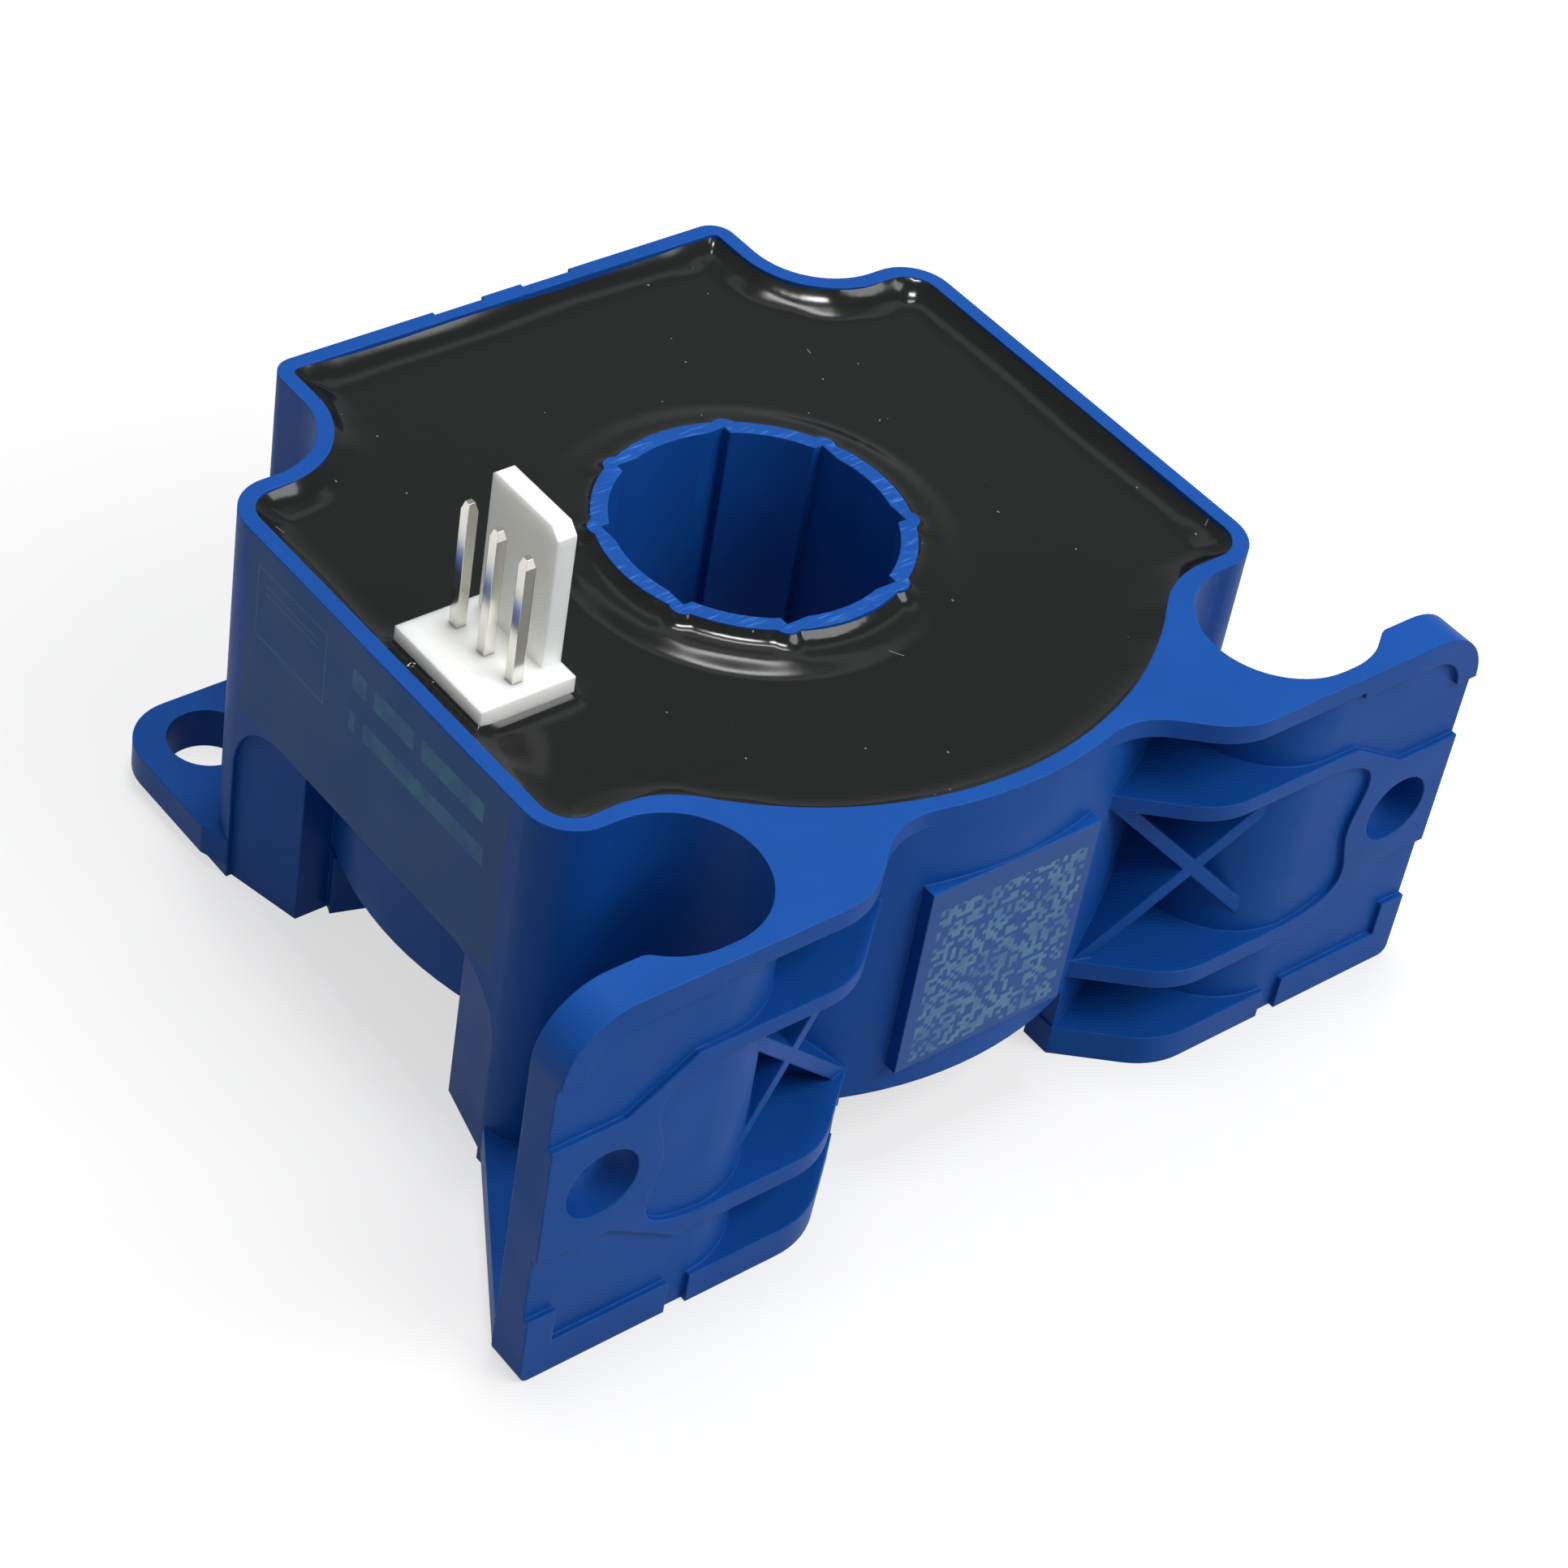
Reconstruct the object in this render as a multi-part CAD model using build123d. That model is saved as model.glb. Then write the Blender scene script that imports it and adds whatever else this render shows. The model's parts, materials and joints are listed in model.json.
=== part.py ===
from build123d import *
import os
from math import atan2, cos, degrees, hypot, radians, sin, sqrt

# Hall effect current sensor: an open-topped, potted housing with a through hole for the
# measured conductor, two front feet, four corner screw ears and a three-pin header.
# Frame: millimetres, +Z up, origin on the through hole's axis in the bottom mounting plane.
# -X is the header's side, -Y the side with the feet.

# Housing envelope
rim_z = 25.2                 # top rim above the mounting plane
ear_edge_x = 3.6             # base hole axis to the body's flat side
ear_edge_y = 3.55            # base hole axis to the rear wall
body_front_radius = 23.5     # round front of the body
body_corner_radius = 2.8     # vertical corners beside the notches
rear_corner_radius = 1.4     # vertical corners of the rear wall
least_corner_radius = 0.3    # for the same corners inside the wall
wall = 0.95                  # side wall thickness
can_underside_z = 4.2        # underside of the round body above the mounting plane
can_floor = 1.5              # floor of the potting cavity
can_edge_chamfer = 0.6       # lower edge of the round body
rear_recess_width = 9.4      # shallow moulded recess in the rear wall
rear_recess_depth = 0.25
rear_boss_width = 2.7        # flush strip left in the middle of that recess

# Corner notches and ears for upright screws
base_hole_spacing_x = 41.0
base_hole_spacing_y = 40.6
base_hole_diameter = 4.8
notch_radius = 4.85          # clearance round a screw head
notch_draw = 0.75            # front notch drawn out towards the foot's end
notch_lip_radius = 1.0       # where it leaves the back of the foot
ear_top_z = 2.75
ear_rim_z = 0.8              # underside of an ear's proud rim
ear_side_proud = 0.65        # rim beyond the flat side
ear_rear_proud = 0.25        # and beyond the rear wall
ear_end_taper = 1.3          # where the rim starts to run in, before the notch
ear_corner_radius = 3.5

# Through hole: a round bore with two crossed slots for flat bars
bore_diameter = 15.9
bar_slot_length = 15.2
bar_slot_width = 7.4
tube_wall = 0.95
slot_corner_wall = 0.75      # wall round each slot corner

# Front feet
foot_end_margin = 3.5        # foot hole axis to the foot's end
foot_plate_thickness = 2.5
foot_corner_radius = 4.0
foot_bottom_radius = 0.6
foot_hole_spacing = 55.0
foot_hole_diameter = 4.4
foot_hole_z = 12.95
bracket_wall = 0.65          # curved wall between notch and front pockets
panel_recess = 0.35          # sunk panels on the feet
strip_height = 1.6           # raised strip along the top of a foot
strip_start = 1.1            # its inner end, past the base hole axis
border_width = 1.5           # raised border round the foot's top corner
border_drop = 3.9            # how far it runs down from the rim
band_rise = 4.05             # raised band, above the foot hole axis
band_drop = 3.9              # and below it
band_shoulder = 0.9          # where the band turns towards the webs, inside the hole axis
band_lobe = 3.15             # lobes of the band's wavy inner edge, inside the hole axis
band_waist = 3.75
band_upper_run = 2.0         # level stretch at each web, past the base hole axis
band_lower_run = 1.5
sill_height = 2.25           # raised strip along the bottom of a foot
sill_start = 1.4             # its inner end, past the base hole axis
sill_block_width = 1.75
sill_block_height = 4.6

# Webs between body and feet
web_root_x = 7.9
web_corner_x = 12.6
web_corner_radius = 5.0
flange_thickness = 1.2       # top web
flange_fillet = 4.4          # between its slanted edge and the round front
upper_web_z = 18.5
upper_web_thickness = 1.0
lower_web_z = 6.0
lower_web_thickness = 1.2
lowest_web_thickness = 2.0   # stands on the mounting plane
rib_thickness = 0.8          # crossed ribs between the two middle webs
rib_root_x = 8.6
rib_tip_x = 19.4

# Raised pad on the round front
pad_width = 11.5
pad_bottom_z = 6.9
pad_top_z = 19.9
pad_proud = 0.15             # pad face beyond the round front

# Arched side recess with a deep pocket, on both flat sides
arch_top_z = 12.9
arch_flat_half = 8.0
arch_half = 12.4
arch_depth_outer = 0.35
arch_depth_inner = 1.5
pocket_half = 7.6
pocket_depth = 2.25          # at the middle of the flat side

# Legs under the body's corners
leg_toe_inset = 1.5          # from the flat side
leg_inner_x = 15.6
leg_inner_y = 5.4
leg_end_x = 8.0
leg_end_y = 21.0

# Potting
potting_depth = 1.0          # surface below the rim

# Header
header_wall_gap = 0.975      # base to the cavity's side wall
header_y = -2.25             # middle pin
pin_pitch = 2.5
pin_size = 0.64
pin_height = 7.9             # above the base
pin_tail = 1.5               # below the circuit board
pin_taper_length = 0.55
pin_tip_size = 0.36
pin_drill = 1.0
header_base_width = 5.85
header_base_length = 7.7
header_base_height = 3.2
header_base_proud = 0.5      # above the rim
lock_wall_width = 5.65
lock_wall_offset = 0.3       # its middle, behind the middle pin
lock_wall_thickness = 1.2
lock_wall_height = 8.8       # above the base
lock_wall_chamfer = 0.6      # front top corner
lock_wall_rear_chamfer = 0.15

# Magnetic circuit
core_gap = 1.8
core_clearance = 0.1         # core to its cups
cup_wall = 0.8
coil_bore_gap = 0.7          # tube to winding
coil_wall_gap = 1.25         # winding to the side wall behind the pockets
coil_floor_gap = 0.6         # cavity floor to winding
coil_part_gap = 0.5          # winding to the tallest part under the board
winding_thickness = 1.1
winding_open_half_angle = 15.0   # half of the arc left open at the core gap, degrees
winding_clearance = 0.1      # winding to cups
lead_diameter = 0.5
lead_angle = 19.0            # from the core gap's middle, degrees

# Hall element in the core gap
hall_width = 4.0
hall_height = 3.2
hall_thickness = 1.2
hall_lead_width = 0.4
hall_lead_thickness = 0.25
hall_lead_pitch = 1.0
hall_lead_count = 4
hall_window_margin = 0.2     # round the leads, in the upper cup

# Circuit board and its parts
board_thickness = 1.6
board_edge_gap = 0.4         # board to cavity wall
board_bore_gap = 0.5         # board to tube
chip_length = 4.9
chip_width = 3.9
chip_height = 1.4
chip_standoff = 0.1
chip_legs_per_side = 4
chip_leg_pitch = 1.27
chip_leg_width = 0.42
chip_leg_reach = 1.05
chip_leg_foot = 0.5
chip_leg_thickness = 0.2
transistor_length = 4.5
transistor_width = 2.5
transistor_height = 1.5
transistor_lead_pitch = 1.5
transistor_lead_width = 0.45
transistor_lead_length = 0.9
transistor_lead_thickness = 0.35
transistor_tab_width = 1.8
transistor_tab_reach = 0.45
terminal_thickness = 0.3     # end straps of the moulded parts
capacitor_length = 3.5
capacitor_width = 2.8
capacitor_height = 1.9
diode_length = 2.7
diode_width = 1.6
diode_height = 1.1
chip_resistor_length = 2.0
chip_resistor_width = 1.25
chip_resistor_height = 0.5
chip_capacitor_length = 2.0
chip_capacitor_width = 1.25
chip_capacitor_height = 0.85

# Where the parts stand round the bore, as angles from +X in degrees
control_chip_angle = 270
transistor_high_angle = 30
transistor_low_angle = -20
capacitor_plus_angle = 130
capacitor_minus_angle = 230
diode_plus_angle = 150
diode_minus_angle = 210
resistor_angles = (3, 12, 44, 53, 62, 240, 297, 306, 315)
chip_capacitor_angles = (118, 172, 186, 248)

# Derived places
hole_x = base_hole_spacing_x / 2
hole_y = base_hole_spacing_y / 2
half_width = hole_x + ear_edge_x
body_rear_y = hole_y + ear_edge_y
foot_hole_x = foot_hole_spacing / 2
foot_half_width = foot_hole_x + foot_end_margin
pocket_back_radius = half_width - pocket_depth
shoulder_y = hole_y - notch_radius
foot_recess_y = -(hole_y + notch_radius + bracket_wall)
foot_face_y = foot_recess_y - panel_recess
foot_back_y = foot_face_y + foot_plate_thickness
cavity_floor_z = can_underside_z + can_floor
cavity_step_z = arch_top_z + wall
potting_z = rim_z - potting_depth
header_base_top_z = rim_z + header_base_proud
header_x = -(half_width - wall - header_wall_gap - header_base_width / 2)
pin_top_z = header_base_top_z + pin_height
lock_wall_top_z = header_base_top_z + lock_wall_height
board_top_z = header_base_top_z - header_base_height
board_bottom_z = board_top_z - board_thickness
tallest_part = max(capacitor_height, diode_height, transistor_height, chip_standoff + chip_height)
slot_corners = [
    (side * x, end * y)
    for x, y in ((bar_slot_length / 2, bar_slot_width / 2), (bar_slot_width / 2, bar_slot_length / 2))
    for side in (-1, 1)
    for end in (-1, 1)
]
tube_reach = hypot(bar_slot_length / 2, bar_slot_width / 2) + slot_corner_wall
winding_inner_radius = tube_reach + coil_bore_gap
winding_outer_radius = pocket_back_radius - wall - coil_wall_gap
winding_bottom_z = cavity_floor_z + coil_floor_gap
winding_top_z = board_bottom_z - tallest_part - coil_part_gap
winding_skin = winding_thickness + winding_clearance
cup_inner_radius = winding_inner_radius + winding_skin
cup_outer_radius = winding_outer_radius - winding_skin
cup_bottom_z = winding_bottom_z + winding_skin
cup_top_z = winding_top_z - winding_skin
cup_split_z = (cup_bottom_z + cup_top_z) / 2
cup_skin = cup_wall + core_clearance
core_inner_radius = cup_inner_radius + cup_skin
core_outer_radius = cup_outer_radius - cup_skin
core_bottom_z = cup_bottom_z + cup_skin
core_top_z = cup_top_z - cup_skin
ring_radius = (core_inner_radius + core_outer_radius) / 2
overrun = 1.0                # how far a cutting tool runs past a face
beyond = 20.0                # how far one runs past the whole part


def span(x0, x1, y0, y1):
    """A flat rectangle between two x and two y values."""
    return Pos((x0 + x1) / 2, (y0 + y1) / 2) * Rectangle(x1 - x0, y1 - y0)


def block(x0, x1, y0, y1, z0, z1):
    """A solid box between two values along each axis."""
    return Pos((x0 + x1) / 2, (y0 + y1) / 2, (z0 + z1) / 2) * Box(x1 - x0, y1 - y0, z1 - z0)


def raised(sketch, z0, z1):
    """A flat outline turned into a solid between two heights."""
    return Pos(0, 0, z0) * extrude(sketch, z1 - z0, dir=(0, 0, 1))


def along_y(sketch, y0, y1):
    """An outline drawn as (x, z) turned into a solid between two y values."""
    return Pos(0, y1, 0) * extrude(Plane.XZ * sketch, y1 - y0, dir=(0, -1, 0))


def along_x(sketch, x0, x1):
    """An outline drawn as (y, z) turned into a solid between two x values."""
    return Pos(x0, 0, 0) * extrude(Plane.YZ * sketch, x1 - x0, dir=(1, 0, 0))


def both_sides(shape):
    """A shape and its mirror image across the middle plane."""
    return shape + mirror(shape, about=Plane.YZ)


def polygon(*points):
    """A flat outline through points, kept where they are."""
    return Polygon(*points, align=None)


def round_vertex(sketch, x, y, radius):
    """Rounds the corner of a flat outline that lies nearest to a point."""
    corner = min(sketch.vertices(), key=lambda v: hypot(v.X - x, v.Y - y))
    return fillet(corner, radius)


def tube(inner, outer, z0, z1):
    """A plain ring between two radii and two heights."""
    return raised(Circle(outer) - Circle(inner), z0, z1)


# Housing plans

def body_plan(inset):
    """The body's outline from above, moved inwards by a wall."""
    half = half_width - inset
    rear = body_rear_y - inset
    shoulder = shoulder_y - inset
    inner = hole_x - notch_radius - inset
    front_radius = body_front_radius - inset
    corner_radius = body_corner_radius - inset
    rear_radius = max(rear_corner_radius - inset, least_corner_radius)
    plan = span(-half, half, -shoulder, rear) + Circle(front_radius)
    for side in (-1, 1):
        far = side * (half + beyond)
        notch = Circle(notch_radius + inset)
        plan -= Pos(side * hole_x, hole_y) * notch
        plan -= span(*sorted((side * hole_x, far)), shoulder, rear + beyond)
        plan -= span(*sorted((side * inner, far)), hole_y, rear + beyond)
    for side in (-1, 1):
        meeting = side * sqrt(front_radius**2 - shoulder**2)
        plan = round_vertex(plan, meeting, -shoulder, notch_radius + inset)
        plan = round_vertex(plan, side * half, shoulder, corner_radius)
        plan = round_vertex(plan, side * half, -shoulder, corner_radius)
        plan = round_vertex(plan, side * inner, rear, rear_radius)
    return plan


def lower_cavity_plan():
    """The potting cavity beside and below the side pockets."""
    deep = half_width - arch_depth_inner - wall
    plan = body_plan(wall) & span(-deep, deep, -beyond * 2, beyond * 2)
    pocket_zone = span(-half_width, half_width, -pocket_half - wall, pocket_half + wall)
    return plan - (pocket_zone - Circle(pocket_back_radius - wall))


def cavity(top_z):
    """The space inside the housing up to a height, without the tube."""
    lower = raised(lower_cavity_plan(), cavity_floor_z, cavity_step_z)
    return lower + raised(body_plan(wall), cavity_step_z, top_z)


def tube_plan():
    """Outside of the tube round the through hole."""
    plan = Circle(bore_diameter / 2 + tube_wall)
    for x, y in slot_corners:
        plan += Pos(x, y) * Circle(slot_corner_wall)
    return plan


def bore_plan():
    """The through hole: a circle with two crossed bar slots."""
    slots = Rectangle(bar_slot_length, bar_slot_width) + Rectangle(bar_slot_width, bar_slot_length)
    return Circle(bore_diameter / 2) + slots


def web_root_y():
    """Where the inner edge of a web meets the round front."""
    return -sqrt(body_front_radius**2 - web_root_x**2)


def front_notch():
    """The right front notch from above, without its way out to the side."""
    plan = Pos(hole_x, -hole_y) * Circle(notch_radius)
    plan += Pos(hole_x + notch_draw, -hole_y) * Circle(notch_radius)
    return plan + span(hole_x, hole_x + notch_draw, -hole_y - notch_radius, -hole_y + notch_radius)


def web_plan():
    """One web between the body and the right foot, seen from above, rooted in the body's wall."""
    plan = polygon(
        (hole_x, foot_face_y),
        (web_corner_x, foot_face_y),
        (web_root_x, web_root_y()),
        (web_root_x, web_root_y() + 2 * wall),
        (hole_x, -shoulder_y),
    )
    plan = round_vertex(plan, web_corner_x, foot_face_y, web_corner_radius)
    return plan - front_notch()


def flange_sweep():
    """The fillet between the top web's slanted edge and the round front, seen from above."""
    corner_x, corner_y = web_root_x, web_root_y()
    length = hypot(web_corner_x - corner_x, foot_face_y - corner_y)
    along = ((web_corner_x - corner_x) / length, (foot_face_y - corner_y) / length)
    start_x = corner_x + flange_fillet * along[1]
    start_y = corner_y - flange_fillet * along[0]
    reach = body_front_radius + flange_fillet
    lead = start_x * along[0] + start_y * along[1]
    run = sqrt(lead**2 + reach**2 - start_x**2 - start_y**2) - lead
    centre_x = start_x + run * along[0]
    centre_y = start_y + run * along[1]
    shrink = body_front_radius / reach
    plan = polygon(
        (corner_x, corner_y),
        (corner_x + run * along[0], corner_y + run * along[1]),
        (centre_x, centre_y),
        (centre_x * shrink, centre_y * shrink),
    )
    return plan - Pos(centre_x, centre_y) * Circle(flange_fillet)


def rib_plan():
    """The space the ribs may fill, with a straight front from the body to the curved wall."""
    plan = polygon(
        (hole_x, foot_recess_y),
        (web_root_x, web_root_y()),
        (web_root_x, web_root_y() + 2 * wall),
        (hole_x, -shoulder_y),
    )
    return plan - front_notch()


# Housing features, drawn for the right side

def curved_wall():
    """The wall that wraps the front notch, full height."""
    ring = Circle(notch_radius + bracket_wall) - Circle(notch_radius)
    ring -= span(0, beyond, -notch_radius * 2, notch_radius * 2)
    return raised(Pos(hole_x, -hole_y) * ring, 0, rim_z)


def foot_outline():
    """A foot seen from the front, as (x, z), with its rounded corners."""
    outline = span(hole_x, foot_half_width, 0, rim_z)
    outline = round_vertex(outline, foot_half_width, rim_z, foot_corner_radius)
    return round_vertex(outline, foot_half_width, 0, foot_bottom_radius)


def foot_border():
    """Raised strip along the top of the foot and down its rounded corner."""
    low = rim_z - border_drop
    start = hole_x + strip_start
    edge = foot_half_width - border_width
    inner = span(start, edge, low - overrun, rim_z - strip_height)
    inner = round_vertex(inner, edge, rim_z - strip_height, foot_corner_radius - border_width)
    outline = foot_outline() & span(hole_x, foot_half_width, low, rim_z)
    return outline - inner - span(hole_x - overrun, start, 0, rim_z - flange_thickness)


def hole_band():
    """Raised band round the foot hole, running into the two middle webs."""
    upper_top = upper_web_z + upper_web_thickness
    lower_top = lower_web_z + lower_web_thickness
    band_top = foot_hole_z + band_rise
    band_bottom = foot_hole_z - band_drop
    band = polygon(
        (foot_half_width, band_top),
        (foot_hole_x - band_shoulder, band_top),
        (hole_x + band_upper_run, upper_top),
        (hole_x, upper_top),
        (hole_x, lower_web_z),
        (hole_x + band_lower_run, lower_web_z),
        (foot_hole_x - band_shoulder, band_bottom),
        (foot_half_width, band_bottom),
    )
    middle = (upper_web_z + lower_top) / 2
    quarter = (upper_web_z - lower_top) / 4
    wave = Spline(
        (hole_x, upper_web_z),
        (foot_hole_x - band_lobe, middle + quarter),
        (foot_hole_x - band_waist, middle),
        (foot_hole_x - band_lobe, middle - quarter),
        (hole_x, lower_top),
    )
    pocket = make_face(wave + Line((hole_x, lower_top), (hole_x, upper_web_z)))
    return band - pocket


def foot_sill():
    """Raised strip along the bottom of the foot, with a taller end block."""
    strip = span(hole_x + sill_start, foot_half_width, 0, sill_height)
    strip += span(foot_half_width - sill_block_width, foot_half_width, 0, sill_block_height)
    return strip & foot_outline()


def foot():
    """One foot plate with its raised front, without its hole."""
    plan = span(hole_x, foot_half_width, foot_recess_y, foot_back_y) - front_notch()
    lip_x = hole_x + notch_draw + sqrt(notch_radius**2 - (hole_y + foot_back_y)**2)
    plan = round_vertex(plan, lip_x, foot_back_y, notch_lip_radius)
    plate = along_y(foot_outline(), foot_recess_y, foot_back_y) & raised(plan, 0, rim_z)
    for sketch in (foot_border(), hole_band(), foot_sill()):
        plate += along_y(sketch, foot_face_y, foot_recess_y)
    return plate


def webs():
    """Four level webs and the crossed ribs between the middle two."""
    plan = web_plan()
    levels = (
        (rim_z - flange_thickness, rim_z),
        (upper_web_z, upper_web_z + upper_web_thickness),
        (lower_web_z, lower_web_z + lower_web_thickness),
        (0, lowest_web_thickness),
    )
    group = raised(flange_sweep(), rim_z - flange_thickness, rim_z)
    for low, high in levels:
        group += raised(plan, low, high)
    lower_top = lower_web_z + lower_web_thickness
    space = raised(rib_plan(), lower_top, upper_web_z)
    for start_z, end_z in ((upper_web_z, lower_top), (lower_top, upper_web_z)):
        group += space & rib_strip(start_z, end_z)
    return group


def rib_strip(start_z, end_z):
    """One slanting rib from the body to the curved wall."""
    run = rib_tip_x - rib_root_x
    rise = end_z - start_z
    length = hypot(run, rise) + 2 * rib_thickness
    centre = Pos((rib_root_x + rib_tip_x) / 2, (start_z + end_z) / 2)
    strip = centre * Rot(0, 0, degrees(atan2(rise, run))) * Rectangle(length, rib_thickness)
    return along_y(strip, foot_face_y, -shoulder_y)


def rear_floor(side, rear, low_z):
    """A plate under the rear corner notch, out to a side and a rear line."""
    inner = hole_x - notch_radius - wall
    plate = polygon(
        (inner, arch_half),
        (half_width, arch_half),
        (side, shoulder_y - ear_end_taper),
        (side, rear),
        (inner, rear),
    )
    return raised(round_vertex(plate, side, rear, ear_corner_radius), low_z, ear_top_z)


def rear_ear():
    """Floor of the rear corner notch, with a rim that stands proud of the walls."""
    rim = rear_floor(half_width + ear_side_proud, body_rear_y + ear_rear_proud, ear_rim_z)
    return rear_floor(half_width, body_rear_y, 0) + rim


def front_ear():
    """Floor of the front corner notch, running out to the foot."""
    inner = hole_x - notch_radius - bracket_wall / 2
    front_end = body_corner_radius - shoulder_y
    plate = polygon(
        (half_width, front_end),
        (foot_half_width, foot_back_y),
        (foot_half_width, foot_recess_y),
        (hole_x, foot_recess_y),
        (inner, -hole_y),
        (inner, front_end),
    )
    plate += Pos(hole_x, -hole_y) * Circle(notch_radius + bracket_wall / 2)
    base = block(inner, half_width, foot_recess_y, front_end, 0, ear_top_z)
    return raised(plate, ear_rim_z, ear_top_z) + (base & raised(plate, 0, ear_top_z))


def leg(end):
    """Foot block under one corner of the round body; end is 1 at the rear, -1 at the front."""
    plan = polygon(
        (half_width, end * pocket_half),
        (half_width - leg_toe_inset, end * pocket_half),
        (leg_inner_x, end * leg_inner_y),
        (leg_end_x, end * leg_end_y),
        (leg_end_x, end * beyond * 2),
        (half_width, end * beyond * 2),
    )
    return raised(plan & body_plan(0), 0, can_underside_z)


def side_recess():
    """Cutting tool for the arched side recess and its deep pocket."""
    arch = span(-arch_half, arch_half, -overrun, arch_top_z)
    for end in (-1, 1):
        arch = round_vertex(arch, end * arch_half, arch_top_z, arch_half - arch_flat_half)
    outside = half_width + beyond
    wedge = polygon(
        (outside, -arch_half),
        (half_width - arch_depth_outer, -arch_half),
        (half_width - arch_depth_inner, -pocket_half),
        (half_width - arch_depth_inner, pocket_half),
        (half_width - arch_depth_outer, arch_half),
        (outside, arch_half),
    )
    shallow = along_x(arch, 0, outside) & raised(wedge, -overrun, arch_top_z)
    deep = span(0, outside, -pocket_half, pocket_half) - Circle(pocket_back_radius)
    return shallow + raised(deep, can_underside_z - beyond, arch_top_z)


def can_edge(radius, low_x, high_x, low_y, high_y):
    """Cutting tool for the chamfer on a stretch of the round body's lower edge."""
    triangle = polygon(
        (radius - can_edge_chamfer, can_underside_z),
        (radius + overrun, can_underside_z),
        (radius + overrun, can_underside_z + can_edge_chamfer),
        (radius, can_underside_z + can_edge_chamfer),
    )
    ring = revolve(Plane.XZ * triangle, Axis.Z)
    return ring & block(low_x, high_x, low_y, high_y, can_underside_z - overrun, can_underside_z + overrun)


def housing():
    """The one-piece moulded housing."""
    shell = raised(body_plan(0), can_underside_z, rim_z)
    shell -= both_sides(side_recess())
    shell -= can_edge(body_front_radius, -web_root_x, web_root_x, -beyond * 2, 0)
    shell -= both_sides(can_edge(pocket_back_radius, 0, half_width, -pocket_half, pocket_half))
    side = curved_wall() + foot() + webs() + rear_ear() + front_ear()
    side += leg(1) - side_recess()
    side += leg(-1) - side_recess()
    side -= foot_hole()
    for end in (-1, 1):
        side -= Pos(hole_x, end * hole_y) * Cylinder(base_hole_diameter / 2, 4 * ear_top_z)
    shell += both_sides(side)
    shell += block(-pad_width / 2, pad_width / 2, -body_front_radius - pad_proud,
                   wall - body_front_radius, pad_bottom_z, pad_top_z)
    shell -= rear_recess()
    shell -= cavity(rim_z + overrun)
    shell += raised(tube_plan(), can_underside_z, rim_z)
    return shell - raised(bore_plan(), -overrun, rim_z + overrun)


def foot_hole():
    """Cutting tool for one foot's screw hole."""
    circle = Pos(foot_hole_x, foot_hole_z) * Circle(foot_hole_diameter / 2)
    return along_y(circle, foot_face_y - overrun, foot_back_y + overrun)


def rear_recess():
    """Cutting tool for the shallow recess in the rear wall, with its flush middle strip."""
    inner = body_rear_y - rear_recess_depth
    strip = block(rear_boss_width / 2, rear_recess_width / 2, inner, body_rear_y + overrun,
                  -overrun, rim_z + overrun)
    return both_sides(strip)


# Magnetic circuit

def gap_slot(width, low_z, high_z):
    """A slot through the ring at the rear, centred on the core gap."""
    return block(-width / 2, width / 2, core_inner_radius - overrun, core_outer_radius + overrun,
                 low_z, high_z)


def magnetic_core():
    """Ring core with one air gap for the Hall element."""
    ring = tube(core_inner_radius, core_outer_radius, core_bottom_z, core_top_z)
    return ring - gap_slot(core_gap, core_bottom_z - overrun, core_top_z + overrun)


def core_cups():
    """Lower and upper insulating cups that close round the core."""
    shell = tube(cup_inner_radius, cup_outer_radius, cup_bottom_z, cup_top_z)
    shell -= tube(core_inner_radius - core_clearance, core_outer_radius + core_clearance,
                  core_bottom_z - core_clearance, core_top_z + core_clearance)
    reach = cup_outer_radius + overrun
    lower = shell & block(-reach, reach, -reach, reach, cup_bottom_z - overrun, cup_split_z)
    upper = shell & block(-reach, reach, -reach, reach, cup_split_z, cup_top_z + overrun)
    window = (hall_lead_count - 1) * hall_lead_pitch + hall_lead_width + 2 * hall_window_margin
    slot = block(-core_gap / 2, core_gap / 2, ring_radius - window / 2, ring_radius + window / 2,
                 core_top_z, cup_top_z + overrun)
    return lower, upper - slot


def winding_sector():
    """The arc that the winding covers, seen from above."""
    reach = 2 * winding_outer_radius
    open_angle = radians(winding_open_half_angle)
    wedge = polygon(
        (0, 0),
        (reach * sin(open_angle), reach * cos(open_angle)),
        (-reach * sin(open_angle), reach * cos(open_angle)),
    )
    return Circle(winding_outer_radius) - Circle(winding_inner_radius) - wedge


def secondary_winding():
    """The wound coil round the cups, as one hollow C."""
    coil = raised(winding_sector(), winding_bottom_z, winding_top_z)
    return coil - tube(cup_inner_radius - winding_clearance, cup_outer_radius + winding_clearance,
                       cup_bottom_z - winding_clearance, cup_top_z + winding_clearance)


def winding_lead(side):
    """One enamelled wire from the winding's end up to the board."""
    angle = radians(lead_angle)
    spot = Pos(side * ring_radius * sin(angle), ring_radius * cos(angle), 0)
    return spot * raised(Circle(lead_diameter / 2), winding_top_z, board_bottom_z)


def hall_element():
    """Flat package standing in the core gap, with four leads up to the board."""
    middle = (core_bottom_z + core_top_z) / 2
    body = Pos(0, ring_radius, middle) * Box(hall_thickness, hall_width, hall_height)
    first = ring_radius - (hall_lead_count - 1) * hall_lead_pitch / 2
    for index in range(hall_lead_count):
        y = first + index * hall_lead_pitch
        body += block(-hall_lead_thickness / 2, hall_lead_thickness / 2, y - hall_lead_width / 2,
                      y + hall_lead_width / 2, middle, board_bottom_z)
    return body


# Header

def pin_places():
    """The y value of each header pin, front to rear."""
    return [header_y + step * pin_pitch for step in (-1, 0, 1)]


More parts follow.
